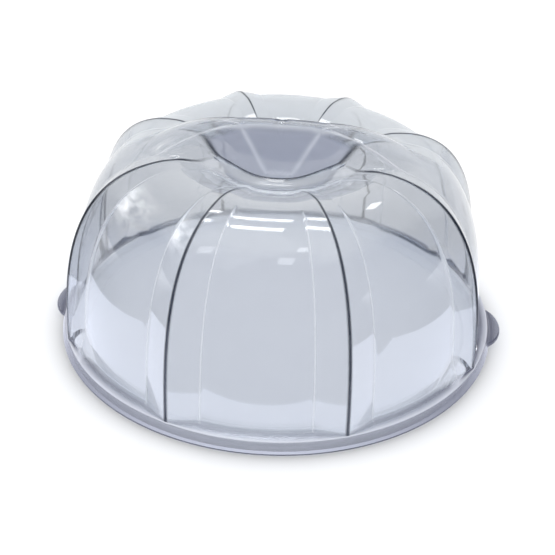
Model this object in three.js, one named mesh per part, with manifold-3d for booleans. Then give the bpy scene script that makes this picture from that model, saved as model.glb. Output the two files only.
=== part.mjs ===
// A round fluted clear dome cover with a moulded carrying handle, standing over a shallow round tray.
// Millimetres, +Z up. The origin is the centre of the tray's underside, and the handle runs along X.
import * as THREE from "three";
import { mergeVertices } from "three/addons/utils/BufferGeometryUtils.js";
import Module from "manifold-3d";

const wasm = await Module();
wasm.setup();

// ---------------------------------------------------------------- driving dimensions
const WALL = 2.4; // moulded wall thickness of the dome

// The skirt, from its lower edge up to the ledge that the fluted wall rises from.
const SKIRT = { bottomR: 165, bottomZ: 0.8, shoulderR: 162.6, shoulderZ: 10.8, ledgeZ: 12.2 };

// Superellipse walls around a crown of radius CROWN.radius: the eight panels, and the ribs between them.
// Inside CROWN.rollRadius the crown rolls down towards the handle.
const CROWN = { radius: 66, rollRadius: 87, rollSpan: 36, rollDrop: 9.9, rollPower: 1.7 };
const PANEL = { reach: 87.5, height: 148.4, power: 2.8, footReach: 89.5 };
const RIB = { reach: 96.3, height: 149.8, power: 2.95, count: 8, halfAngle: 8 };

// The handle: an arched grip bar on a block whose sloping sides run down to the crown.
const ARCH = { halfSpan: 153.5, height: 169.4, power: 2.55, crestCurve: 0.012 };
const BAR = { halfWidth: 5, flare: 0.3, draft: 0.25, flatHalf: 10, flatZ: 134, flatLean: 0.577 };
const BLOCK = { halfLength: 112, drop: 13, dropLength: 100, fallStart: 85, fall: 0.5, buriedZ: 95 };
const FOOT = { reach: 22, bulge: 24.5, bulgeWidth: 36.3, bulgePower: 3.1, z: 142, slope: 1.2 };

// The finger pockets in front of and behind the bar.
const POCKET = { halfLength: 56, lipReach: 38, endReach: 11.5, lipWidth: 36, lipPower: 2.6 };
const POCKET_DEPTH = { floorZ: 132, draft: 4, leastWidth: 0.8 };

// The round gate mark in the middle of the bar's crest.
const GATE = { radius: 4, depth: 0.6 };

const EAR = { reach: 8.6, depth: 20, halfWidth: 27, lowZ: 3.4, thickness: 3 };
const TRAY = { rimR: 159, rimWall: 2.4, rimZ: 8.2, floor: 2.2, bedR: 143, bedZ: 3.4 };

// ---------------------------------------------------------------- outline formulas
const bell = (x, width, power) => Math.exp(-((Math.abs(x) / width) ** power));

// Height of a superellipse wall at radius r.
function wallZ(shape, r) {
  const share = THREE.MathUtils.clamp((r - CROWN.radius) / shape.reach, 0, 1) ** shape.power;
  return shape.height * (1 - share) ** (1 / shape.power);
}

// How far the crown has rolled down at radius r.
const crownDrop = (r) =>
  CROWN.rollDrop * (Math.max(0, CROWN.rollRadius - r) / CROWN.rollSpan) ** CROWN.rollPower;

const archZ = (x) => ARCH.height * (1 - (Math.abs(x) / ARCH.halfSpan) ** ARCH.power) ** (1 / ARCH.power);

// Half the length of the bar wall's flat middle at height z.
const flatHalf = (z) => BAR.flatHalf + BAR.flatLean * (z - BAR.flatZ);

// Half the width of the bar at height z: drafted side walls that flare out past their flat middle.
const barHalfWidth = (x, z) =>
  BAR.halfWidth + BAR.draft * (archZ(x) - z) + BAR.flare * Math.max(0, Math.abs(x) - flatHalf(z));

// Half the width of the bar's crest.
const crestHalfWidth = (x) =>
  BAR.halfWidth + BAR.flare * Math.max(0, Math.abs(x) - flatHalf(ARCH.height));

// Distance from the handle's centre plane to the outer lip of a finger pocket.
const lipReach = (x) =>
  POCKET.endReach + (POCKET.lipReach - POCKET.endReach) * bell(x, POCKET.lipWidth, POCKET.lipPower);

// Distance from the handle's centre plane to the block's foot: a bulge, and then along the ribs' ridges.
function footReach(x) {
  const alongRidge = Math.abs(x) * Math.tan(Math.PI / RIB.count);
  return Math.max(FOOT.reach, alongRidge) + FOOT.bulge * bell(x, FOOT.bulgeWidth, FOOT.bulgePower);
}

function footZ(x) {
  const r = Math.hypot(x, footReach(x));
  return Math.max(FOOT.z, wallZ(RIB, r) - crownDrop(r));
}

// Where the block's sloping side starts, beside the bar, as [y, z].
function sideTop(x) {
  const drop = BLOCK.drop * Math.sqrt(Math.max(0, 1 - Math.abs(x) / BLOCK.dropLength));
  const halfWidth = crestHalfWidth(x);
  return [halfWidth, archZ(x) - ARCH.crestCurve * halfWidth ** 2 - drop];
}

// Height of the block's sloping side at a distance from the centre plane.
function sideZ(x, reach) {
  const [topY, topZ] = sideTop(x);
  const share = (reach - topY) / (footReach(x) - topY);
  return topZ + (footZ(x) - topZ) * share;
}

// ---------------------------------------------------------------- mesh helpers
function toSolid(geometry) {
  const bare = geometry.clone();
  bare.deleteAttribute("normal");
  bare.deleteAttribute("uv");
  const merged = mergeVertices(bare, 1e-3);
  const solid = new wasm.Manifold(
    new wasm.Mesh({
      numProp: 3,
      vertProperties: new Float32Array(merged.attributes.position.array),
      triVerts: new Uint32Array(merged.index.array),
    }),
  );
  if (solid.volume() <= 0) throw new Error("a helper solid is inside out");
  return solid;
}

function toGeometry(solid) {
  const { vertProperties, triVerts } = solid.getMesh();
  const geometry = new THREE.BufferGeometry();
  geometry.setAttribute("position", new THREE.BufferAttribute(vertProperties, 3));
  geometry.setIndex(new THREE.BufferAttribute(triVerts, 1));
  geometry.computeVertexNormals();
  return geometry;
}

// Skins a stack of loops with equal counts of [x, y, z] points and closes both ends on their centres.
// Each loop turns counter-clockwise when it is seen from the last loop's side.
function skinLoops(loops) {
  const n = loops[0].length;
  const points = loops.flat();
  const centreOf = (loop) =>
    loop.reduce((sum, point) => sum.map((v, i) => v + point[i] / n), [0, 0, 0]);
  const first = points.push(centreOf(loops[0])) - 1;
  const last = points.push(centreOf(loops.at(-1))) - 1;
  const index = [];
  for (let i = 0; i < n; i++) {
    const j = (i + 1) % n;
    for (let k = 0; k < loops.length - 1; k++) {
      const low = k * n;
      const high = low + n;
      index.push(low + i, low + j, high + i, low + j, high + j, high + i);
    }
    const top = (loops.length - 1) * n;
    index.push(first, j, i, top + i, top + j, last);
  }
  const geometry = new THREE.BufferGeometry();
  geometry.setAttribute("position", new THREE.Float32BufferAttribute(points.flat(), 3));
  geometry.setIndex(index);
  return toSolid(geometry);
}

// Evenly spaced stations along the handle, from -halfLength to halfLength.
const stations = (halfLength, steps) =>
  Array.from({ length: steps + 1 }, (_, i) => halfLength * ((2 * i) / steps - 1));

// ---------------------------------------------------------------- the dome
// One column of the body from the skirt to the crown, as [radius, z], with its surface moved in by inset.
// ribShare is 0 on a panel and 1 on a rib's ridge.
function bodyColumn(ribShare, inset) {
  const mix = (panel, rib) => panel + (rib - panel) * ribShare;
  const shoulderR = SKIRT.shoulderR - inset;
  const ribFootR = Math.min(SKIRT.shoulderR, CROWN.radius + RIB.reach) - inset;
  const openBelow = inset > 0 ? WALL : 0;
  const column = [
    [SKIRT.bottomR - inset, SKIRT.bottomZ - openBelow],
    [shoulderR, SKIRT.shoulderZ - inset],
    [mix(CROWN.radius + PANEL.footReach - inset, ribFootR), SKIRT.ledgeZ - inset],
  ];
  const wallSteps = 15;
  const wallStart = 0.13; // share of the quarter turn at which the wall leaves the ledge's fillet
  for (let i = 0; i <= wallSteps; i++) {
    const turn = (wallStart + (1 - wallStart) * (i / wallSteps)) * (Math.PI / 2);
    const onCurve = (shape) => [
      CROWN.radius + (shape.reach - inset) * Math.cos(turn) ** (2 / shape.power),
      (shape.height - inset) * Math.sin(turn) ** (2 / shape.power),
    ];
    const panel = onCurve(PANEL);
    const rib = onCurve(RIB);
    const r = mix(panel[0], rib[0]);
    column.push([r, mix(panel[1], rib[1]) - crownDrop(r)]);
  }
  const crownSteps = 8;
  for (let i = 1; i < crownSteps; i++) {
    const r = CROWN.radius * (1 - i / crownSteps);
    column.push([r, mix(PANEL.height, RIB.height) - inset - crownDrop(r)]);
  }
  return column;
}

function bodySolid(inset) {
  const pitch = 360 / RIB.count;
  const offsets = [-22.5, -18, -13, -RIB.halfAngle, 0, RIB.halfAngle, 13, 18];
  const columns = [];
  for (let rib = 0; rib < RIB.count; rib++)
    for (const offset of offsets) {
      const angle = ((rib + 0.5) * pitch + offset) * THREE.MathUtils.DEG2RAD;
      const ribShare = Math.max(0, 1 - Math.abs(offset) / RIB.halfAngle);
      columns.push({ angle, points: bodyColumn(ribShare, inset) });
    }
  const rings = columns[0].points.map((_, row) =>
    columns.map(({ angle, points }) => {
      const [r, z] = points[row];
      return [r * Math.cos(angle), r * Math.sin(angle), z];
    }),
  );
  return skinLoops(rings);
}

// The handle's block: the bar's bowed crest, its side walls, the sloping sides and their foot.
function blockSolid(inset) {
  const crestSteps = 4;
  const sideways = inset * Math.hypot(1, BAR.draft);
  const loops = stations(BLOCK.halfLength, 40).map((x) => {
    const halfWidth = crestHalfWidth(x) - sideways;
    const fall = inset + BLOCK.fall * Math.max(0, Math.abs(x) - BLOCK.fallStart);
    const topZ = sideTop(x)[1] - fall;
    const crestZ = (y) => archZ(x) - ARCH.crestCurve * y * y - inset;
    const crest = stations(halfWidth, crestSteps).map((y) => [x, -y, crestZ(y)]);
    const footY = footReach(x) - inset * 0.8;
    const lowZ = footZ(x) - fall;
    const side = [
      [halfWidth + BAR.draft * (crestZ(halfWidth) - topZ), topZ],
      [footY, lowZ],
      [footY + (lowZ - BLOCK.buriedZ) / FOOT.slope, BLOCK.buriedZ],
    ];
    const left = side.toReversed().map(([y, z]) => [x, y, z]);
    const right = side.map(([y, z]) => [x, -y, z]);
    return [...left, ...crest, ...right];
  });
  return skinLoops(loops);
}

// A finger pocket on one side of the bar: a cutter with a drafted wall under the bar and one under the lip.
function pocketSolid(side, grow) {
  const topZ = ARCH.height + 6;
  const { floorZ, draft, leastWidth } = POCKET_DEPTH;
  const sideways = grow * Math.hypot(1, 1 / draft);
  const loops = stations(POCKET.halfLength, 28).map((x) => {
    const lipZ = sideZ(x, lipReach(x));
    const nearY = (z) => barHalfWidth(x, z) - sideways;
    const farY = (z) => lipReach(x) + (z - lipZ) / draft + sideways;
    const wallsMeetZ = (flare) => {
      const flared = flare * (Math.abs(x) - flatHalf(0));
      const near = BAR.halfWidth + BAR.draft * archZ(x) + flared - sideways;
      const far = lipReach(x) - lipZ / draft + sideways - leastWidth;
      return (near - far) / (BAR.draft + 1 / draft + flare * BAR.flatLean);
    };
    const lowZ = Math.max(floorZ - grow, wallsMeetZ(0), wallsMeetZ(BAR.flare));
    const kinkZ = BAR.flatZ + (Math.abs(x) - BAR.flatHalf) / BAR.flatLean; // where the flare starts
    const midZ = THREE.MathUtils.clamp(kinkZ, lowZ + 1, topZ - 1);
    return [
      [x, nearY(lowZ), lowZ],
      [x, farY(lowZ), lowZ],
      [x, farY(topZ), topZ],
      [x, nearY(topZ), topZ],
      [x, nearY(midZ), midZ],
    ];
  });
  if (side < 0) return skinLoops(loops.map((loop) => loop.map(([x, y, z]) => [-x, -y, z])));
  return skinLoops(loops);
}

// The shallow round gate mark, as a flat cone to take out of the crest.
function gateMark() {
  const cone = new THREE.ConeGeometry(GATE.radius * 2, GATE.depth * 2, 24);
  cone.rotateX(-Math.PI / 2);
  cone.translate(0, 0, ARCH.height);
  return toSolid(cone);
}

// Everything inside the dome's surface, moved in by inset.
function domeFilled(inset) {
  return bodySolid(inset)
    .add(blockSolid(inset))
    .subtract(pocketSolid(1, inset))
    .subtract(pocketSolid(-1, inset));
}

// Two rounded ears on the skirt, in line with the handle.
function earSolid(side) {
  const disc = new THREE.CylinderGeometry(1, 1, EAR.thickness, 40);
  disc.rotateX(Math.PI / 2);
  disc.scale(EAR.depth, EAR.halfWidth, 1);
  disc.translate(
    side * (SKIRT.bottomR + EAR.reach - EAR.depth),
    0,
    EAR.lowZ + EAR.thickness / 2,
  );
  return toSolid(disc);
}

function domeCover() {
  const filled = domeFilled(0).subtract(gateMark()).add(earSolid(1)).add(earSolid(-1));
  const material = new THREE.MeshStandardMaterial({
    color: 0xb9c2d6,
    roughness: 0.06,
    metalness: 0,
    transparent: true,
    opacity: 0.3,
  });
  const mesh = new THREE.Mesh(toGeometry(filled.subtract(domeFilled(WALL))), material);
  mesh.name = "dome_cover";
  return mesh;
}

// ---------------------------------------------------------------- the tray
function baseTray() {
  const { rimR, rimWall, rimZ, floor, bedR, bedZ } = TRAY;
  const innerR = rimR - rimWall;
  const edge = 0.6; // softening of the rim's edges
  const corner = 1.6; // fillet between the floor and the rim
  const profile = [
    [0, 0],
    [rimR - corner, 0],
    [rimR, corner],
    [rimR, rimZ - edge],
    [rimR - edge, rimZ],
    [innerR + edge, rimZ],
    [innerR, rimZ - edge],
    [innerR - edge, floor + corner],
    [innerR - edge - corner, floor],
    [bedR + corner, floor],
    [bedR, bedZ],
    [0, bedZ],
  ].map(([r, z]) => new THREE.Vector2(r, z));
  const geometry = new THREE.LatheGeometry(profile, 96);
  geometry.rotateX(Math.PI / 2);
  const material = new THREE.MeshStandardMaterial({ color: 0xe6e6eb, roughness: 0.3, metalness: 0 });
  const mesh = new THREE.Mesh(toGeometry(toSolid(geometry)), material);
  mesh.name = "base_tray";
  return mesh;
}

const coveredTray = new THREE.Group();
coveredTray.add(domeCover(), baseTray());

export default coveredTray;
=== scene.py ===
"""Looks for the clear fluted dome cover and its shallow tray: finely moulded meshes, clear plastic, studio.

Shapes are worked out in millimetres and written to the meshes in metres, in the frame of the CAD.
"""
import math

import bpy
import numpy as np
from mathutils import Matrix, Vector


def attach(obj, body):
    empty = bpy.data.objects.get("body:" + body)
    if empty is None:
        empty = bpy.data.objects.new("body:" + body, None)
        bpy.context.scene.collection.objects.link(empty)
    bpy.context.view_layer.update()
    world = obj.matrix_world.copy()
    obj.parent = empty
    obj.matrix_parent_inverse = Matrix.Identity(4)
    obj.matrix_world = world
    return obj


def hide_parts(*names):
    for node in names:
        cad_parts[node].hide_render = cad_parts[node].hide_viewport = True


MM = 0.001

# ---------------------------------------------------------------- dome shape, millimetres and degrees
# X runs along the handle, Y is the distance from the middle plane through it, Z is the height over the bench
# and R a radius. REACH, HEIGHT and POWER are the half axes and the exponent of a superellipse.
WALL = 2.4
SKIRT_R, SKIRT_Z = 165.0, 0.8
SHOULDER_R, SHOULDER_Z = 162.6, 10.8
LEDGE_Z = 12.2
FOOT_CLEARANCE = 0.1
CROWN_R = 66.0
CROWN_ROLL_R, CROWN_ROLL_SPAN, CROWN_DROP, CROWN_ROLL_POWER = 87.0, 36.0, 9.9, 1.7
PANEL_REACH, PANEL_HEIGHT, PANEL_POWER = 87.5, 148.4, 2.8
RIB_REACH, RIB_HEIGHT, RIB_POWER = 96.3, 149.8, 2.95
RIB_COUNT, RIB_HALF = 8, 8.0
RIB_PITCH = 360.0 / RIB_COUNT
RIDGE_SOFT, CREASE_SOFT = 0.22, 0.5

# The handle's block: a bar with a crest like an arch, and aprons that slope from it to a foot on the crown.
ARCH_SPAN, ARCH_HEIGHT, ARCH_POWER = CROWN_R + PANEL_REACH, 169.4, 2.55
CREST_CURVE = 0.012
BAR_HALF, BAR_FLARE, BAR_DRAFT = 5.0, 0.30, 0.25
BAR_FLAT_X, BAR_FLAT_Z, BAR_FLAT_LEAN = 10.0, 134.0, 0.577
FOOT_Y, FOOT_Z, FOOT_SLOPE = 22.0, 142.0, 1.2
FOOT_BULGE, FOOT_BULGE_X, FOOT_BULGE_POWER = 24.5, 36.3, 3.1
RIDGE_SLOPE = math.tan(math.radians(RIB_PITCH / 2.0))
APRON_DROP, APRON_LENGTH, APRON_END, APRON_FALL = 13.0, 100.0, 85.0, 0.5
APRON_THIN_TOP, APRON_THIN_FOOT = 0.4, 0.8
BLOCK_LENGTH, BLOCK_SINK = 112.0, 0.35

# The finger pockets on both sides of the bar, and the gate mark in the middle of the crest.
POCKET_LENGTH, LIP_REACH, LIP_END, LIP_X, LIP_POWER = 61.0, 38.0, 11.5, 36.0, 2.6
POCKET_FLOOR, POCKET_DRAFT = 132.0, 4.0
GATE_R, GATE_DEPTH, GATE_POWER = 5.0, 1.2, 4.0
NUB_R, NUB_HEIGHT, NUB_POWER = 1.6, 0.9, 2.0

# How wide each rounded join is. A corner of the outline has how far it is cut back and its number of rows.
FLARE_ROUND, BAR_FACE_ROUND, FOOT_ROUND, APRON_FOOT_ROUND = 12.0, 3.0, 6.0, 4.0
CREST_ROUND, APRON_TOP_ROUND, BLOCK_ROUND, BODY_ROUND = 3.5, 4.0, 4.0, 3.0
POCKET_WALL_ROUND, POCKET_FLOOR_ROUND = 6.0, 10.0
BAR_LIP_ROUND, FAR_LIP_EXTRA, LIP_ROUND_SPAN = 3.0, 3.0, (-15.0, 15.0)
SKIRT_EDGE_CUT, SKIRT_EDGE_ROWS = 0.7, 4
SHOULDER_CUT, SHOULDER_ROWS = 1.2, 5
WALL_FOOT_CUT, WALL_FOOT_ROWS = 6.0, 9
MOST_CUT, LEAST_LENGTH = 0.45, 1e-6

# The lift ears: their plan, their faces' heights, and the rounded edge of each face as pairs of the
# distance from the face and the share of the ear's reach.
EAR_REACH, EAR_DEPTH, EAR_HALF_WIDTH = 8.6, 20.0, 27.0
EAR_LOW, EAR_HIGH = 3.4, 6.4
EAR_EDGE = [(0.0, 0.0), (0.05, 0.4), (0.1, 0.8), (0.3, 0.95), (0.9, 1.0)]

# Rows of the mesh up the wall and over the crown, and columns from a rib's ridge to the middle of a panel.
WALL_START_Z, FINE_FROM_Z, FINE_STEP, COARSE_STEP = 20.0, 118.0, 1.1, 2.2
OUTLINE_SAMPLES = 6000
CROWN_ROWS, AXIS_SHARE = 88, 0.006
RIDGE_COLUMNS = [0.0, 0.1, 0.2, 0.32, 0.5, 0.75, 1.1, 1.6, 2.3]
FACE_COLUMNS = [3.1, 3.9, 4.7, 5.5, 6.3, 6.9, 7.3, 7.6, 7.8, 8.0, 8.2, 8.4, 8.7, 9.1, 9.6]
PANEL_COLUMNS_FROM, PANEL_COLUMNS = 10.3, 16

# ---------------------------------------------------------------- tray shape, millimetres
TRAY_R, TRAY_WALL, TRAY_Z, TRAY_FLOOR, TRAY_DRAFT = 159.0, WALL, 8.2, 2.2, 0.8
TRAY_BASE_R = TRAY_R - 4.0
BED_R, BED_Z, BED_SLOPE = 143.0, 3.4, 2.0
# Roundings of the tray's corners, from the outer foot over the rim to the edge of the raised bed.
TRAY_CUTS = [1.6, 0.8, 0.8, 2.0, 1.0, 1.0]
TRAY_COLUMNS, TRAY_CORNER_ROWS, TRAY_AXIS_R = 256, 6, 2.0

# ---------------------------------------------------------------- painted layers: painted shade, highlights and sheen
# Half widths of the painted lines of shade and highlight: ridges and creases in degrees, all others in
# millimetres.
RIDGE_LINE, RIDGE_LINE_SIDE_EXTRA, RIDGE_PLATEAU, CREASE_LINE = 0.6, 0.45, 1.5, 0.32
# The shoulder line is a painted highlight, the foot line painted shade in the crease where the wall meets
# the ledge.
SHOULDER_LINE, FOOT_LINE, FOOT_LINE_Z = 0.5, 0.5, LEDGE_Z + 1.2
# Widths of the painted highlight lines on the bar and of the painted dark lines at the lips and crest.
FUNNEL_LINE, FLOOR_LINE, LIP_LINE, CREST_LINE = 1.6, 1.5, 1.3, 0.9
LINE_POWER = 2.0
# Where the lines lie and how far they run.
LINE_MARGIN, NEAR_WALL_MARGIN, EAR_MARGIN = 1.0, 2.0, 0.5
FLOOR_LINE_UP, LIP_LINE_OUT, CREST_SHADOW_IN, CREST_SHADOW_SHARE = 3.0, 1.4, 1.6, 0.8
RIDGE_LINE_FROM_Z, CREASE_LINE_FROM_Z = LEDGE_Z - 1.0, LEDGE_Z
# Ranges over which a line or a tone fades in: where it is nothing, and where it is full.
RIDGE_LINE_RADII, CREASE_LINE_RADII = (50.0, 70.0), (80.0, 100.0)
POCKET_TONE_DEPTHS, POCKET_TONE_Y = (1.5, 6.5), (24.0, 19.0)
CREST_LINE_X = (105.0, 75.0)
LIP_LINE_X = (POCKET_LENGTH, POCKET_LENGTH - 12.0)
APRON_PAST_LIP, APRON_PAST_FOOT = (2.0, 4.0), (3.0, -1.0)
RIM_TONE_Z = (LEDGE_Z + 1.2, LEDGE_Z)
LOWER_SKIRT_Z = (9.0, 5.0)
EAR_TONE_R = (SKIRT_R + 1.0, SKIRT_R + 4.0)
CROWN_PAINTED_SHEEN_Z, CROWN_PAINTED_SHEEN_Y = (128.0, 138.0), (6.0, 14.0)
REAR_PAINTED_SHEEN_Z, REAR_PAINTED_SHEEN_Y = (86.0, 96.0), (20.0, 50.0)
# Highest point of the apron's painted paler tone, and the shares of the uneven painted tones: the rim's
# shade and the crown's and rear wall's sheen.
APRON_TOP = 146.0
RIM_TONE, RIM_TONE_LOWER, RIM_TONE_SIDE, EAR_TONE_LESS = 0.36, 0.18, 0.64, 0.35
FRONT_CROWN_PAINTED_SHEEN, REAR_PAINTED_SHEEN = 0.34, 0.5
LAYER_SPECULAR = 0.3
PLASTIC_LAYERS = [
    # layer, amount, colour, roughness
    # rim: painted shade, a dark tone over the skirt and ledge.
    ("painted_rim_shade", 0.88, (0.10, 0.105, 0.15, 1.0), 0.22),
    # foot: painted shade, a dark line in the crease where the wall meets the ledge.
    ("foot", 0.25, (0.08, 0.09, 0.13, 1.0), 0.3),
    # shoulder: a painted highlight, a pale line along the skirt's shoulder.
    ("shoulder", 0.60, (0.80, 0.82, 0.90, 1.0), 0.2),
    # haze: painted sheen, a pale rough tone over the crown and the top of the rear wall, standing in for
    # reflected light; its roughness blurs the lamps' reflections.
    ("haze_and_painted_sheen", 0.42, (0.72, 0.75, 0.77, 1.0), 0.7),
    # apron: painted light, a paler tone on the handle block's slopes below the pocket lips.
    ("apron", 0.35, (0.62, 0.64, 0.68, 1.0), 0.3),
    # pocket: painted shade, a grey-violet tone inside the finger pockets.
    ("pocket", 0.75, (0.345, 0.365, 0.44, 1.0), 0.4),
    # lines: painted highlights, pale lines on the bar's edges.
    ("painted_highlight_lines", 0.50, (0.62, 0.64, 0.70, 1.0), 0.3),
    # crease: painted highlight, pale lines along the ribs' edges.
    ("painted_crease_highlight", 0.30, (0.75, 0.77, 0.82, 1.0), 0.3),
    # ridge: painted shade, near-black lines on the ribs' ridges, the pockets' lips and the crest's rear
    # edge.
    ("painted_dark_lines", 0.92, (0.012, 0.018, 0.035, 1.0), 0.3),
]

# ---------------------------------------------------------------- plastics
PLASTIC_IOR = 1.57
PLASTIC_TINT = (0.735, 0.743, 0.765, 1.0)
SHADOW_TINT = (0.95, 0.955, 0.97, 1.0)
SMOKE_COLOUR, SMOKE_DENSITY = (0.20, 0.34, 0.50, 1.0), 40.0
FLOW_SCALE, FLOW_DETAIL = 14.0, 2.0
FLOW_BUMP, FLOW_BUMP_DEPTH = 0.08, 0.002
LEAST_ROUGHNESS, MOST_ROUGHNESS = 0.02, 0.06
TRAY_FLOW_SCALE, TRAY_ROUGHNESS = 30.0, 0.35
TRAY_DARKER, TRAY_LIGHTER = (0.86, 0.87, 0.90, 1.0), (0.90, 0.91, 0.93, 1.0)

# ---------------------------------------------------------------- stage, metres
FLOOR_HALF, FLOOR_Z = 4.0, -0.0004
FLOOR_COLOUR = (0.93, 0.93, 0.935, 1.0)
CONTACT_COLOUR, CONTACT_FADE = (0.56, 0.555, 0.55, 1.0), 0.008
TABLE_HALF_X, TABLE_FRONT_Y = 0.30, -0.205
TABLE_MIRRORED = (1.45, 1.50, 1.70, 1.0)
ROOM_MIRRORED = (0.16, 0.17, 0.18, 1.0)
SEEN_BEHIND, BEHIND_Y = (1.08, 1.08, 1.08, 1.0), (-0.05, 0.15)
WHITE = (1.0, 1.0, 1.0, 1.0)
WORLD_STRENGTH = 1.22
ROOM_FRONT, ROOM_FRONT_END, ROOM_BACK_START = (0.14, 0.15, 0.16, 1.0), 0.35, 0.9
KEY_PLACE, KEY_SIZE, KEY_RADIANCE = (-0.6, -0.4, 1.6), (1.6, 1.6), 0.35
CEILING_Z = 2.0
CEILING_LIGHTS = [
    # name, x, y, length along x, width along y, radiance
    ("rear_tube", -0.20, 0.83, 0.50, 0.16, 11.0),
    ("middle_tube", -0.25, 0.27, 0.55, 0.17, 11.0),
    ("right_tube", 0.73, 1.45, 0.16, 0.34, 6.0),
    ("front_tube", 0.26, -1.36, 0.30, 0.40, 2.0),
    ("front_pane", 0.42, -0.70, 0.14, 0.24, 3.0),
]
WINDOW_PLACE, WINDOW_SIZE, WINDOW_RADIANCE = (-1.7, 0.75, 1.0), 2.2, 12.0
WINDOW_SCALE, WINDOW_DETAIL, WINDOW_DISTORTION, WINDOW_CONTRAST = 2.2, 2.0, 0.5, (0.35, 0.65)

# ---------------------------------------------------------------- camera: degrees and metres, lens in mm
CAMERA_AZIMUTH, CAMERA_ELEVATION, CAMERA_ROLL = 4.49, 32.60, 1.57
CAMERA_DISTANCE, TARGET_Z = 0.9603, 0.037595
CAMERA_LENS, CAMERA_SENSOR = 81.3164, 36.0
BOUNCES, MIRROR_BOUNCES, CLEAR_BOUNCES = 14, 8, 32


# ---------------------------------------------------------------- small formulas


def ramp(value, start, end):
    """0 at start and 1 at end, straight in between; end may be the smaller one."""
    return np.clip((value - start) / (end - start), 0.0, 1.0)


def ease(value, start, end):
    """0 at start and 1 at end, easing in and out."""
    t = ramp(value, start, end)
    return t * t * (3.0 - 2.0 * t)


def bell(value, width, power):
    return np.exp(-((np.abs(value) / width) ** power))


def smooth_max(a, b, width):
    blend = np.clip(width - np.abs(a - b), 0.0, None) / width
    return np.maximum(a, b) + blend * blend * width / 4.0


def smooth_min(a, b, width):
    return -smooth_max(-a, -b, width)


# ---------------------------------------------------------------- the handle's block and pockets


def arch_z(x):
    share = np.clip(np.abs(x) / ARCH_SPAN, 0.0, 1.0) ** ARCH_POWER
    return ARCH_HEIGHT * (1.0 - share) ** (1.0 / ARCH_POWER)


def crest_z(x, y):
    return arch_z(x) - CREST_CURVE * y * y


def bar_half(x):
    """Half the width of the handle's crest: straight in the middle, flaring towards both ends."""
    flat = BAR_FLAT_X + BAR_FLAT_LEAN * (ARCH_HEIGHT - BAR_FLAT_Z)
    return BAR_HALF + BAR_FLARE * smooth_max(np.abs(x) - flat, np.zeros_like(x), FLARE_ROUND)


def bar_faces(x, ay):
    """Heights of the bar's two side faces: a drafted flat in the middle, and flares that meet below it."""
    arch = arch_z(x)
    flat = arch - (ay - BAR_HALF) / BAR_DRAFT
    reach = BAR_HALF + arch * BAR_DRAFT - ay
    reach = reach + BAR_FLARE * (np.abs(x) - BAR_FLAT_X + BAR_FLAT_LEAN * BAR_FLAT_Z)
    return flat, reach / (BAR_DRAFT + BAR_FLARE * BAR_FLAT_LEAN)


def bar_wall_z(x, ay):
    flat, flare = bar_faces(x, ay)
    return smooth_max(flat, flare, BAR_FACE_ROUND)


def lip_reach(x):
    """How far from the middle plane a pocket's lip runs."""
    return LIP_END + (LIP_REACH - LIP_END) * bell(x, LIP_X, LIP_POWER)


def foot_y(x):
    """How far from the middle plane the block's foot runs: a bulge in the middle, then along the ridges."""
    base = smooth_max(FOOT_Y, RIDGE_SLOPE * np.abs(x), FOOT_ROUND)
    return base + FOOT_BULGE * bell(x, FOOT_BULGE_X, FOOT_BULGE_POWER)


def crown_drop(r):
    """How far the crown has rolled down towards the handle at radius r."""
    return CROWN_DROP * (np.clip(CROWN_ROLL_R - r, 0.0, None) / CROWN_ROLL_SPAN) ** CROWN_ROLL_POWER


def ridge_z(r):
    """Height of a rib's ridge over the crown at radius r."""
    share = np.clip((r - CROWN_R) / RIB_REACH, 0.0, 1.0) ** RIB_POWER
    return RIB_HEIGHT * (1.0 - share) ** (1.0 / RIB_POWER) - crown_drop(r)


def apron_z(x, ay, inset):
    """The sloping sides of the handle's block, from under the crest down to its foot."""
    ax = np.abs(x)
    bar = bar_half(x)
    foot = foot_y(x)
    high = crest_z(x, bar) - APRON_DROP * np.sqrt(np.clip(1.0 - ax / APRON_LENGTH, 0.0, 1.0))
    low = smooth_max(ridge_z(np.hypot(ax, foot)), FOOT_Z, APRON_FOOT_ROUND)
    across = (ay - bar + inset * APRON_THIN_TOP) / (foot - bar)
    side = high - (high - low) * across
    side = side - FOOT_SLOPE * np.clip(ay + inset * APRON_THIN_FOOT - foot, 0.0, None)
    return side - inset - APRON_FALL * np.clip(ax - APRON_END, 0.0, None)


def gate_mark(x, y):
    """Depth of the round gate mark in the middle of the crest, with its small nub."""
    r = np.hypot(x, y)
    return GATE_DEPTH * bell(r, GATE_R, GATE_POWER) - NUB_HEIGHT * bell(r, NUB_R, NUB_POWER)


def top_surface(x, y, body_z, inset):
    """The body's height with the handle's block added and the two finger pockets cut in."""
    ay = np.abs(y)
    grow = inset * math.hypot(1.0, BAR_DRAFT)
    buried = BLOCK_SINK * np.clip(np.abs(x) - BLOCK_LENGTH, 0.0, None)
    crest = crest_z(x, y) - inset - gate_mark(x, y)
    wall = bar_wall_z(x, ay + grow)
    bar = smooth_min(crest, wall, CREST_ROUND)
    apron = smooth_min(apron_z(x, ay, inset), crest, APRON_TOP_ROUND)
    z = smooth_max(body_z, smooth_max(bar, apron, BLOCK_ROUND) - buried, BODY_ROUND)

    lip = lip_reach(x)
    far = apron_z(x, np.maximum(lip, bar_half(x)), 0.0) + POCKET_DRAFT * (ay - lip - grow)
    walls = smooth_max(wall, far, POCKET_WALL_ROUND)
    pocket = smooth_max(walls, POCKET_FLOOR - inset, POCKET_FLOOR_ROUND)
    rounding = BAR_LIP_ROUND + FAR_LIP_EXTRA * ease(far - wall, *LIP_ROUND_SPAN)
    return smooth_min(z, pocket, rounding)


# ---------------------------------------------------------------- the body


def off_ridge(degrees):
    """How many degrees a column is away from the nearest rib's ridge."""
    return np.abs(np.mod(degrees, RIB_PITCH) - RIB_PITCH / 2.0)


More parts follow.
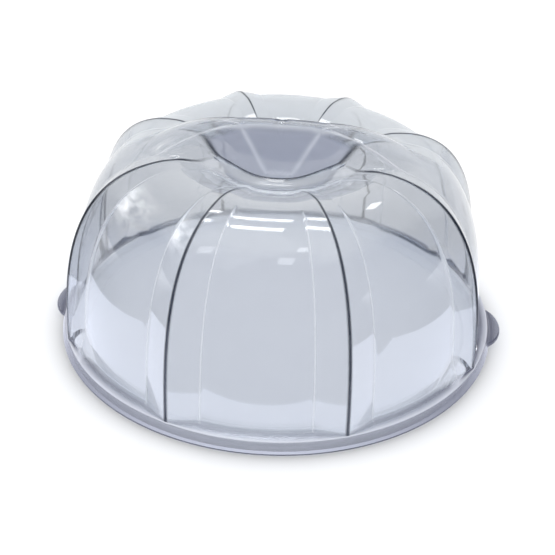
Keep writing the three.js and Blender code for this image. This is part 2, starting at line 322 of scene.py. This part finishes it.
def rib_share(degrees):
    """1 on a rib's ridge and 0 on a panel, with a softened ridge and softened creases."""
    off = off_ridge(degrees)
    soft = np.sqrt(off * off + RIDGE_SOFT**2) - RIDGE_SOFT
    return smooth_max(1.0 - soft / RIB_HALF, np.zeros_like(off), CREASE_SOFT / RIB_HALF)


def superellipse(turn, reach, height, power, inset):
    r = CROWN_R + (reach - inset) * np.cos(turn) ** (2.0 / power)
    z = (height - inset) * np.sin(turn) ** (2.0 / power)
    return r, z


def wall_turns():
    """Angles along the wall's outline at even steps of its length: fine near the crown, coarse below."""
    dense = np.linspace(0.0, math.pi / 2, OUTLINE_SAMPLES)
    r, z = superellipse(dense, PANEL_REACH, PANEL_HEIGHT, PANEL_POWER, 0.0)
    step = np.where(z[1:] > FINE_FROM_Z, FINE_STEP, COARSE_STEP)
    along = np.concatenate([[0.0], np.cumsum(np.hypot(np.diff(r), np.diff(z)) / step)])
    first = np.interp(WALL_START_Z, z, along)
    marks = np.linspace(first, along[-1], int(along[-1] - first) + 1)
    return np.interp(marks, along, dense)


def wall_row(turn, share, inset):
    """One row of the wall: the panel's outline, blended into the rib's by each column's share."""
    panel = superellipse(turn, PANEL_REACH, PANEL_HEIGHT, PANEL_POWER, inset)
    rib = superellipse(turn, RIB_REACH, RIB_HEIGHT, RIB_POWER, inset)
    r, z = (panel[i] + (rib[i] - panel[i]) * share for i in (0, 1))
    return r, z - crown_drop(r)


def corner(before, point, after, cut, steps):
    """Rounds one corner of an outline whose points are pairs of arrays, one value per column."""
    ends = []
    for other in (before, after):
        dr, dz = other[0] - point[0], other[1] - point[1]
        length = np.maximum(np.hypot(dr, dz), LEAST_LENGTH)
        share = np.minimum(cut, MOST_CUT * length) / length
        ends.append((point[0] + dr * share, point[1] + dz * share))
    rows = []
    for t in np.linspace(0.0, 1.0, steps):
        a, b, c = (1 - t) ** 2, 2 * t * (1 - t), t * t
        rows.append(tuple(a * ends[0][i] + b * point[i] + c * ends[1][i] for i in (0, 1)))
    return rows


def turned(rows, theta):
    """A grid of points from rows of radii and heights, one column for each angle."""
    points = np.empty((len(rows), len(theta), 3))
    for i, (r, z) in enumerate(rows):
        points[i, :, 0] = r * np.cos(theta)
        points[i, :, 1] = r * np.sin(theta)
        points[i, :, 2] = z
    return points


def ear_reach(theta):
    """How far the two lift ears stand out of the skirt at each column."""
    y = np.abs(SKIRT_R * np.sin(theta))
    x = SKIRT_R + EAR_REACH - EAR_DEPTH
    x = x + EAR_DEPTH * np.sqrt(np.clip(1.0 - (y / EAR_HALF_WIDTH) ** 2, 0.0, 1.0))
    return np.clip(np.hypot(x, y) - SKIRT_R, 0.0, None) * (y < EAR_HALF_WIDTH)


def ear_rows(theta):
    """Rows of the skirt between the ears' lower and upper faces."""
    reach = ear_reach(theta)
    lean = (SKIRT_R - SHOULDER_R) / (SHOULDER_Z - SKIRT_Z)
    profile = [(EAR_LOW + rise, out) for rise, out in EAR_EDGE]
    profile += [(EAR_HIGH - rise, out) for rise, out in reversed(EAR_EDGE)]
    return [(SKIRT_R - lean * (z - SKIRT_Z) + reach * out, np.full_like(theta, z)) for z, out in profile]


def surface_rows(degrees, inset):
    """Rows of the dome's outer (inset 0) or inner (inset WALL) surface, from the skirt to the axis."""
    theta = np.radians(degrees)
    share = rib_share(degrees)
    ones = np.ones_like(theta)
    panel_foot_r = CROWN_R + PANEL_REACH - inset + FOOT_CLEARANCE
    rib_foot_r = min(SHOULDER_R, CROWN_R + RIB_REACH) - inset
    turns = wall_turns()

    middle = ((SKIRT_R - WALL / 2) * ones, SKIRT_Z * ones)
    low = ((SKIRT_R - inset) * ones, SKIRT_Z * ones)
    shoulder = ((SHOULDER_R - inset) * ones, (SHOULDER_Z - inset) * ones)
    foot = (panel_foot_r + (rib_foot_r - panel_foot_r) * share, (LEDGE_Z - inset) * ones)
    first_wall = wall_row(turns[0], share, inset)

    rows = corner(middle, low, shoulder, SKIRT_EDGE_CUT, SKIRT_EDGE_ROWS)
    if inset == 0.0:
        rows += ear_rows(theta)
    rows += corner(low, shoulder, foot, SHOULDER_CUT, SHOULDER_ROWS)
    rows += corner(shoulder, foot, first_wall, WALL_FOOT_CUT, WALL_FOOT_ROWS)
    rows += [wall_row(turn, share, inset) for turn in turns]
    top_r, top_z = rows[-1]
    top_z = top_z + crown_drop(top_r)
    for step in np.linspace(1.0, AXIS_SHARE, CROWN_ROWS)[1:]:
        rows.append((top_r * step, top_z - crown_drop(top_r * step)))

    points = turned(rows, theta)
    points[:, :, 2] = top_surface(points[:, :, 0], points[:, :, 1], points[:, :, 2], inset)
    return points


def dome_columns():
    """Column angles in degrees, closer together on the ridges and the creases."""
    panel = list(np.linspace(PANEL_COLUMNS_FROM, RIB_PITCH / 2.0, PANEL_COLUMNS))
    half = np.array(RIDGE_COLUMNS + FACE_COLUMNS + panel)
    one_rib = np.concatenate([-half[:0:-1], half[:-1]]) + RIB_PITCH / 2.0
    return np.concatenate([one_rib + RIB_PITCH * k for k in range(RIB_COUNT)])


# ---------------------------------------------------------------- meshes


def skin(rows, columns, offset, flip):
    """Quads over a grid of vertices that closes on itself, starting at vertex offset."""
    i, j = np.meshgrid(np.arange(rows - 1), np.arange(columns), indexing="ij")
    k = (j + 1) % columns
    quad = np.stack(
        [i * columns + j, i * columns + k, (i + 1) * columns + k, (i + 1) * columns + j], -1
    )
    quad = quad.reshape(-1, 4) + offset
    return quad[:, ::-1] if flip else quad


def new_object(name, points, faces):
    mesh = bpy.data.meshes.new(name)
    mesh.from_pydata(points, [], faces)
    mesh.update()
    obj = bpy.data.objects.new(name, mesh)
    bpy.context.scene.collection.objects.link(obj)
    return obj


def closed_shell(name, outer, inner):
    """One closed mesh from an outer and an inner surface that start at one edge and end on the axis."""
    columns = outer.shape[1]
    start_inner = outer.shape[0] * columns
    last_outer = start_inner - columns
    last_inner = start_inner + (inner.shape[0] - 1) * columns
    poles = np.array([[0, 0, surface[-1, :, 2].mean()] for surface in (outer, inner)])
    points = np.concatenate([outer.reshape(-1, 3), inner.reshape(-1, 3), poles]) * MM
    pole_outer, pole_inner = len(points) - 2, len(points) - 1

    faces = skin(outer.shape[0], columns, 0, False).tolist()
    faces += skin(inner.shape[0], columns, start_inner, True).tolist()
    for j in range(columns):
        k = (j + 1) % columns
        faces.append((last_outer + j, last_outer + k, pole_outer))
        faces.append((last_inner + k, last_inner + j, pole_inner))
        faces.append((start_inner + j, start_inner + k, k, j))
    obj = new_object(name, points.tolist(), faces)
    obj.data.shade_smooth()
    return obj


# ---------------------------------------------------------------- layers: a value from 0 to 1 for each point


def radius(outer):
    return np.hypot(outer[:, :, 0], outer[:, :, 1])


def line_along_columns(per_column, outer, from_z, radii):
    """Columns' values, kept to the wall above from_z and faded out towards the middle of the crown."""
    return per_column[None, :] * (outer[:, :, 2] > from_z) * ramp(radius(outer), *radii)


def ridge_shade_layer(outer, degrees):
    """A painted dark line on the sharp ridge of each rib, standing in for the shade along it, wider on the
    ribs beside the ears.
    """
    width = RIDGE_LINE + RIDGE_LINE_SIDE_EXTRA * np.cos(np.radians(degrees)) ** 2
    per_column = np.clip(RIDGE_PLATEAU * (1.0 - off_ridge(degrees) / width), 0.0, 1.0)
    return line_along_columns(per_column, outer, RIDGE_LINE_FROM_Z, RIDGE_LINE_RADII)


def crease_highlight_layer(outer, degrees):
    """Painted highlight along both edges of each rib, where it meets the panels."""
    off_crease = np.abs(off_ridge(degrees) - RIB_HALF)
    per_column = np.clip(1.0 - off_crease / CREASE_LINE, 0.0, 1.0)
    return line_along_columns(per_column, outer, CREASE_LINE_FROM_Z, CREASE_LINE_RADII)


def pocket_shade_layer(outer):
    """Painted shade inside the finger pockets."""
    x, ay, z = outer[:, :, 0], np.abs(outer[:, :, 1]), outer[:, :, 2]
    in_plan = (np.abs(x) < POCKET_LENGTH) * (ay < lip_reach(x) + LINE_MARGIN)
    return in_plan * ease(crest_z(x, ay) - z, *POCKET_TONE_DEPTHS) * ease(ay, *POCKET_TONE_Y)


def highlight_lines_layer(outer):
    """Painted highlights on the edges of the bar: along its drafted flat, at the pocket's floor and along
    the crest's front edge.
    """
    x, y, z = outer[:, :, 0], outer[:, :, 1], outer[:, :, 2]
    ay = np.abs(y)
    flat, flare = bar_faces(x, ay)
    above_floor = np.maximum(flat, flare) > POCKET_FLOOR - LINE_MARGIN
    funnel = bell(flat - flare, FUNNEL_LINE, LINE_POWER) * above_floor
    floor = bell(z - POCKET_FLOOR - FLOOR_LINE_UP, FLOOR_LINE, LINE_POWER) * (flat > flare)
    in_plan = (np.abs(x) < POCKET_LENGTH) * (ay < lip_reach(x) + LINE_MARGIN)
    near_wall = ay < bar_half(x) + BAR_DRAFT * (arch_z(x) - POCKET_FLOOR) + NEAR_WALL_MARGIN
    crest = bell(ay - bar_half(x), CREST_LINE, LINE_POWER) * ease(np.abs(x), *CREST_LINE_X) * (y < 0.0)
    return np.maximum(in_plan * near_wall * np.maximum(funnel, floor), crest)


def dark_shade_lines_layer(outer):
    """Painted shade: the dark line of each pocket's lip and, less dark, the rear edge of the crest."""
    x, y = outer[:, :, 0], outer[:, :, 1]
    ay = np.abs(y)
    lip = bell(ay - lip_reach(x) - LIP_LINE_OUT, LIP_LINE, LINE_POWER) * ease(np.abs(x), *LIP_LINE_X)
    crest = bell(ay - bar_half(x) + CREST_SHADOW_IN, CREST_LINE, LINE_POWER)
    crest = crest * ease(np.abs(x), *CREST_LINE_X) * (y > 0.0)
    return np.maximum(lip, CREST_SHADOW_SHARE * crest)


def apron_painted_light_layer(outer):
    """Painted light: a paler tone on the slope between a pocket's lip and the block's foot."""
    x, ay, z = outer[:, :, 0], np.abs(outer[:, :, 1]), outer[:, :, 2]
    across = ease(ay - lip_reach(x), *APRON_PAST_LIP) * ease(ay - foot_y(x), *APRON_PAST_FOOT)
    return across * ease(np.abs(x), *LIP_LINE_X) * (z < APRON_TOP)


def painted_sheen_layer(outer, pocket):
    """Painted sheen: the paler crown, most of all behind the handle, and the paler top of the rear wall,
    standing in for reflected light.
    """
    y, z = outer[:, :, 1], outer[:, :, 2]
    crown = FRONT_CROWN_PAINTED_SHEEN + (1.0 - FRONT_CROWN_PAINTED_SHEEN) * ease(y, *CROWN_PAINTED_SHEEN_Y)
    rear = REAR_PAINTED_SHEEN * ease(y, *REAR_PAINTED_SHEEN_Y) * ease(z, *REAR_PAINTED_SHEEN_Z)
    return np.maximum(crown * ease(z, *CROWN_PAINTED_SHEEN_Z) * (1.0 - pocket), rear)


def rim_shade_layer(outer):
    """Painted shade on the skirt and ledge, deeper near the bottom and towards the ears."""
    x, z, r = outer[:, :, 0], outer[:, :, 2], radius(outer)
    towards_side = (x / np.maximum(r, 1.0)) ** 2
    tone = RIM_TONE + RIM_TONE_LOWER * ease(z, *LOWER_SKIRT_Z) + RIM_TONE_SIDE * towards_side
    tone = np.clip(tone, 0.0, 1.0) * (1.0 - EAR_TONE_LESS * ease(r, *EAR_TONE_R))
    return ramp(z, *RIM_TONE_Z) * (r > CROWN_R) * tone


def level_line(outer, level, width):
    """A painted line round the outside at one height: painted shade for the foot, painted highlight for the
    shoulder.
    """
    return bell(outer[:, :, 2] - level, width, LINE_POWER) * (radius(outer) > CROWN_R)


def dome_layers(outer, degrees):
    pocket = pocket_shade_layer(outer)
    off_ears = radius(outer) < SKIRT_R + EAR_MARGIN
    return {
        "painted_rim_shade": rim_shade_layer(outer),
        "foot": level_line(outer, FOOT_LINE_Z, FOOT_LINE),
        "shoulder": level_line(outer, SHOULDER_Z, SHOULDER_LINE) * off_ears,
        "haze_and_painted_sheen": painted_sheen_layer(outer, pocket),
        "apron": apron_painted_light_layer(outer) * (1.0 - pocket),
        "pocket": pocket,
        "painted_highlight_lines": highlight_lines_layer(outer),
        "painted_crease_highlight": crease_highlight_layer(outer, degrees),
        "painted_dark_lines": np.maximum(ridge_shade_layer(outer, degrees), dark_shade_lines_layer(outer)),
    }


# ---------------------------------------------------------------- pieces


def build_dome():
    degrees = dome_columns()
    outer = surface_rows(degrees, 0.0)
    inner = surface_rows(degrees, WALL)
    dome = closed_shell("dome_cover_moulding", outer, inner)
    for name, on_outer in dome_layers(outer, degrees).items():
        values = np.zeros(len(dome.data.vertices), dtype=np.float32)
        values[: on_outer.size] = on_outer.reshape(-1)
        layer = dome.data.attributes.new(name, "FLOAT", "POINT")
        layer.data.foreach_set("value", values)
    dome.data.materials.append(clear_plastic())
    return dome


def build_tray():
    theta = np.linspace(0.0, 2 * math.pi, TRAY_COLUMNS, endpoint=False)
    ones = np.ones_like(theta)
    inner_r = TRAY_R - TRAY_WALL
    outline = [
        (TRAY_BASE_R, 0.0),
        (TRAY_R, 0.0),
        (TRAY_R, TRAY_Z),
        (inner_r, TRAY_Z),
        (inner_r - TRAY_DRAFT, TRAY_FLOOR),
        (BED_R + BED_SLOPE, TRAY_FLOOR),
        (BED_R, BED_Z),
        (0.0, BED_Z),
    ]
    outline = [(r * ones, z * ones) for r, z in outline]
    top = []
    for i, cut in enumerate(TRAY_CUTS, start=1):
        top += corner(outline[i - 1], outline[i], outline[i + 1], cut, TRAY_CORNER_ROWS)
    top += [(BED_R / 2, BED_Z), (TRAY_AXIS_R, BED_Z)]
    under = [(TRAY_BASE_R, 0.0), (BED_R / 2, 0.0), (TRAY_AXIS_R, 0.0)]
    tray = closed_shell("base_tray_moulding", turned(top, theta), turned(under, theta))
    tray.data.materials.append(white_plastic())
    return tray


# ---------------------------------------------------------------- materials


def new_material(name):
    material = bpy.data.materials.new(name)
    material.use_nodes = True
    material.node_tree.nodes.clear()
    return material, material.node_tree


def add_node(tree, kind, inputs, **settings):
    """Adds a shader node. inputs maps its sockets to fixed values or to other nodes' outputs."""
    node = tree.nodes.new("ShaderNode" + kind)
    for name, value in settings.items():
        setattr(node, name, value)
    for socket, value in inputs.items():
        if isinstance(value, bpy.types.NodeSocket):
            tree.links.new(value, node.inputs[socket])
        else:
            node.inputs[socket].default_value = value
    return node


def calculate(tree, operation, first, second=0.0):
    return add_node(tree, "Math", {0: first, 1: second}, operation=operation).outputs[0]


def mix_shaders(tree, share, first, second):
    return add_node(tree, "MixShader", {"Fac": share, 1: first, 2: second}).outputs[0]


def mix_colours(tree, share, first, second):
    inputs = {"Factor": share, "A": first, "B": second}
    return add_node(tree, "Mix", inputs, data_type="RGBA").outputs["Result"]


def colour_ramp(tree, share, interpolation, ends):
    """Maps a share to colours; ends holds a position and a colour, twice."""
    node = add_node(tree, "ValToRGB", {"Fac": share})
    node.color_ramp.interpolation = interpolation
    for element, (position, colour) in zip(node.color_ramp.elements, ends):
        element.position = position
        element.color = colour
    return node.outputs["Color"]


def noise(tree, scale, **more):
    """Procedural noise in the object's own coordinates."""
    place = add_node(tree, "TexCoord", {}).outputs["Object"]
    return add_node(tree, "TexNoise", {"Vector": place, "Scale": scale, **more}).outputs["Fac"]


def over_layer(tree, below, layer, amount, colour, roughness):
    """Covers a shader with plain coloured plastic by amount where the mesh's named layer is 1: here painted
    shade, highlights and sheen.
    """
    mask = add_node(tree, "Attribute", {}, attribute_name=layer)
    share = calculate(tree, "MULTIPLY", mask.outputs["Fac"], amount)
    paint = {"Base Color": colour, "Roughness": roughness, "Specular IOR Level": LAYER_SPECULAR}
    return mix_shaders(tree, share, below, add_node(tree, "BsdfPrincipled", paint).outputs[0])


def clear_plastic():
    """Clear smoky plastic: refracting for the camera, see-through for the light that reaches the floor.
    Painted shade, highlights and sheen are laid over it.
    """
    material, tree = new_material("smoky_clear_plastic")
    flow = noise(tree, FLOW_SCALE, Detail=FLOW_DETAIL)
    bump = {"Strength": FLOW_BUMP, "Distance": FLOW_BUMP_DEPTH, "Height": flow}
    haze_and_painted_sheen = {"Value": flow, "To Min": LEAST_ROUGHNESS, "To Max": MOST_ROUGHNESS}
    glass = {
        "Base Color": PLASTIC_TINT,
        "Transmission Weight": 1.0,
        "IOR": PLASTIC_IOR,
        "Normal": add_node(tree, "Bump", bump).outputs["Normal"],
        "Roughness": add_node(tree, "MapRange", haze_and_painted_sheen).outputs["Result"],
    }
    look = add_node(tree, "BsdfPrincipled", glass).outputs[0]
    # Lays the painted shade, highlights and sheen over the clear plastic.
    for layer, amount, colour, roughness in PLASTIC_LAYERS:
        look = over_layer(tree, look, layer, amount, colour, roughness)

    path = add_node(tree, "LightPath", {}).outputs
    light_ray = calculate(tree, "MAXIMUM", path["Is Shadow Ray"], path["Is Diffuse Ray"])
    clear = add_node(tree, "BsdfTransparent", {"Color": SHADOW_TINT}).outputs[0]
    smoke = add_node(tree, "VolumeAbsorption", {"Color": SMOKE_COLOUR, "Density": SMOKE_DENSITY}).outputs[0]
    surface = mix_shaders(tree, light_ray, look, clear)
    add_node(tree, "OutputMaterial", {"Surface": surface, "Volume": smoke})
    return material


def white_plastic():
    """Glossy white moulded plastic with faint flow marks."""
    material, tree = new_material("white_tray_plastic")
    flow = noise(tree, TRAY_FLOW_SCALE)
    tone = colour_ramp(tree, flow, "LINEAR", [(0.0, TRAY_DARKER), (1.0, TRAY_LIGHTER)])
    body = add_node(tree, "BsdfPrincipled", {"Base Color": tone, "Roughness": TRAY_ROUGHNESS})
    add_node(tree, "OutputMaterial", {"Surface": body.outputs[0]})
    return material


def floor_material():
    """Pale floor with a soft contact shadow. The plastic mirrors a brighter table that ends in grey room."""
    material, tree = new_material("pale_floor")
    place = add_node(tree, "NewGeometry", {}).outputs["Position"]
    split = add_node(tree, "SeparateXYZ", {0: place}).outputs
    x, y = split["X"], split["Y"]
    squares = [calculate(tree, "MULTIPLY", along, along) for along in (x, y)]
    r = calculate(tree, "SQRT", calculate(tree, "ADD", *squares))
    beyond = calculate(tree, "MAXIMUM", calculate(tree, "SUBTRACT", r, SKIRT_R * MM))
    shade = calculate(tree, "POWER", math.e, calculate(tree, "MULTIPLY", beyond, -1.0 / CONTACT_FADE))
    tone = mix_colours(tree, shade, FLOOR_COLOUR, CONTACT_COLOUR)
    paint = add_node(tree, "BsdfDiffuse", {"Color": tone}).outputs[0]

    off_side = calculate(tree, "GREATER_THAN", calculate(tree, "ABSOLUTE", x), TABLE_HALF_X)
    off_front = calculate(tree, "LESS_THAN", y, TABLE_FRONT_Y)
    off_table = calculate(tree, "MAXIMUM", off_side, off_front)
    depth = {"Value": y, "From Min": BEHIND_Y[0], "From Max": BEHIND_Y[1]}
    behind = add_node(tree, "MapRange", depth).outputs["Result"]
    mirrored = mix_colours(tree, off_table, TABLE_MIRRORED, ROOM_MIRRORED)
    mirrored = mix_colours(tree, behind, mirrored, SEEN_BEHIND)
    glow = add_node(tree, "Emission", {"Color": mirrored}).outputs[0]
    mirror_ray = add_node(tree, "LightPath", {}).outputs["Is Glossy Ray"]
    add_node(tree, "OutputMaterial", {"Surface": mix_shaders(tree, mirror_ray, paint, glow)})
    return material


def window_material():
    """A round soft glow broken into streaks, see-through beside it."""
    material, tree = new_material("window_glow")
    place = add_node(tree, "TexCoord", {}).outputs["Object"]
    ball = add_node(tree, "TexGradient", {"Vector": place}, gradient_type="QUADRATIC_SPHERE")
    streaks = noise(tree, WINDOW_SCALE, Detail=WINDOW_DETAIL, Distortion=WINDOW_DISTORTION)
    contrast = {"Value": streaks, "From Min": WINDOW_CONTRAST[0], "From Max": WINDOW_CONTRAST[1]}
    streaks = add_node(tree, "MapRange", contrast).outputs["Result"]
    glow = calculate(tree, "MULTIPLY", ball.outputs["Fac"], streaks)
    strength = calculate(tree, "MULTIPLY", glow, WINDOW_RADIANCE)
    light = add_node(tree, "Emission", {"Strength": strength}).outputs[0]
    clear = add_node(tree, "BsdfTransparent", {}).outputs[0]
    both = add_node(tree, "AddShader", {0: light, 1: clear}).outputs[0]
    add_node(tree, "OutputMaterial", {"Surface": both})
    return material


# ---------------------------------------------------------------- stage


def square(name, half, z):
    """A flat square for the stage."""
    points = [(-half, -half, z), (half, -half, z), (half, half, z), (-half, half, z)]
    obj = new_object(name, points, [(0, 1, 2, 3)])
    return obj


def turn_towards(obj, target):
    obj.rotation_euler = (Vector(target) - obj.location).to_track_quat("-Z", "Y").to_euler()


def build_floor():
    floor = square("floor", FLOOR_HALF, FLOOR_Z)
    floor.data.materials.append(floor_material())


def build_window():
    """A soft streaky glow, seen in the plastic only, like daylight from a far window on the left."""
    window = square("left_window", WINDOW_SIZE / 2.0, 0.0)
    window.location = WINDOW_PLACE
    turn_towards(window, (0, 0, 0))
    window.visible_camera = False
    window.visible_diffuse = False
    window.visible_transmission = False
    window.visible_shadow = False
    window.data.materials.append(window_material())


def build_world():
    """White for the camera and for lighting. Mirrored, it is a grey room that brightens towards the back."""
    world = bpy.data.worlds.new("studio")
    bpy.context.scene.world = world
    world.use_nodes = True
    tree = world.node_tree
    tree.nodes.clear()
    direction = add_node(tree, "TexCoord", {}).outputs["Generated"]
    backward = add_node(tree, "SeparateXYZ", {0: direction}).outputs["Y"]
    ends = [(ROOM_FRONT_END, ROOM_FRONT), (ROOM_BACK_START, WHITE)]
    room = add_node(tree, "Background", {"Color": colour_ramp(tree, backward, "EASE", ends)}).outputs[0]
    white = add_node(tree, "Background", {"Color": WHITE, "Strength": WORLD_STRENGTH}).outputs[0]
    mirror_ray = add_node(tree, "LightPath", {}).outputs["Is Glossy Ray"]
    add_node(tree, "OutputWorld", {"Surface": mix_shaders(tree, mirror_ray, white, room)})


def area_light(name, place, target, size, radiance):
    """A rectangular light of the given radiance."""
    light = bpy.data.lights.new(name, "AREA")
    light.shape = "RECTANGLE"
    light.size, light.size_y = size
    light.energy = radiance * math.pi * size[0] * size[1]
    obj = bpy.data.objects.new(name, light)
    obj.location = place
    turn_towards(obj, target)
    bpy.context.scene.collection.objects.link(obj)
    return obj


def build_lights():
    """One soft key light, and ceiling lights that show in reflections and light nothing."""
    area_light("key", KEY_PLACE, (0, 0, 0), KEY_SIZE, KEY_RADIANCE)
    for name, x, y, length, width, radiance in CEILING_LIGHTS:
        lamp = area_light(name, (x, y, CEILING_Z), (x, y, 0.0), (length, width), radiance)
        lamp.visible_diffuse = False
        lamp.visible_volume_scatter = False


def build_camera():
    az, el, roll = map(math.radians, (CAMERA_AZIMUTH, CAMERA_ELEVATION, CAMERA_ROLL))
    back = Vector((math.sin(az) * math.cos(el), -math.cos(az) * math.cos(el), math.sin(el)))
    right = (-back).cross(Vector((0, 0, 1))).normalized()
    up = right.cross(-back)
    turned_right = right * math.cos(roll) + up * math.sin(roll)
    turned_up = up * math.cos(roll) - right * math.sin(roll)
    data = bpy.data.cameras.new("camera")
    data.sensor_width = CAMERA_SENSOR
    data.lens = CAMERA_LENS
    camera = bpy.data.objects.new("camera", data)
    matrix = Matrix((turned_right, turned_up, back)).transposed().to_4x4()
    matrix.translation = Vector((0, 0, TARGET_Z)) + back * CAMERA_DISTANCE
    camera.matrix_world = matrix
    bpy.context.scene.collection.objects.link(camera)
    bpy.context.scene.camera = camera


def set_up_scene():
    scene = bpy.context.scene
    scene.view_settings.view_transform = "Standard"
    scene.cycles.max_bounces = BOUNCES
    scene.cycles.transmission_bounces = BOUNCES
    scene.cycles.glossy_bounces = MIRROR_BOUNCES
    scene.cycles.transparent_max_bounces = CLEAR_BOUNCES


# ---------------------------------------------------------------- assembly

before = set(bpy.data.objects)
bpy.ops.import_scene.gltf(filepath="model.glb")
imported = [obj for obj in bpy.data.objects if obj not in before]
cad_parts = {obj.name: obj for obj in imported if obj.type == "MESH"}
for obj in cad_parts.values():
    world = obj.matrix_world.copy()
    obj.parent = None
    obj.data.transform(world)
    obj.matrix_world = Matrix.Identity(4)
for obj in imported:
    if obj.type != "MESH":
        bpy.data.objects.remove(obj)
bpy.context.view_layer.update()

for piece, body, node in (
    (build_dome(), "cover", "dome_cover"),
    (build_tray(), "tray", "base_tray"),
):
    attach(piece, body)
    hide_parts(node)

build_floor()
build_world()
build_lights()
build_window()
build_camera()
set_up_scene()
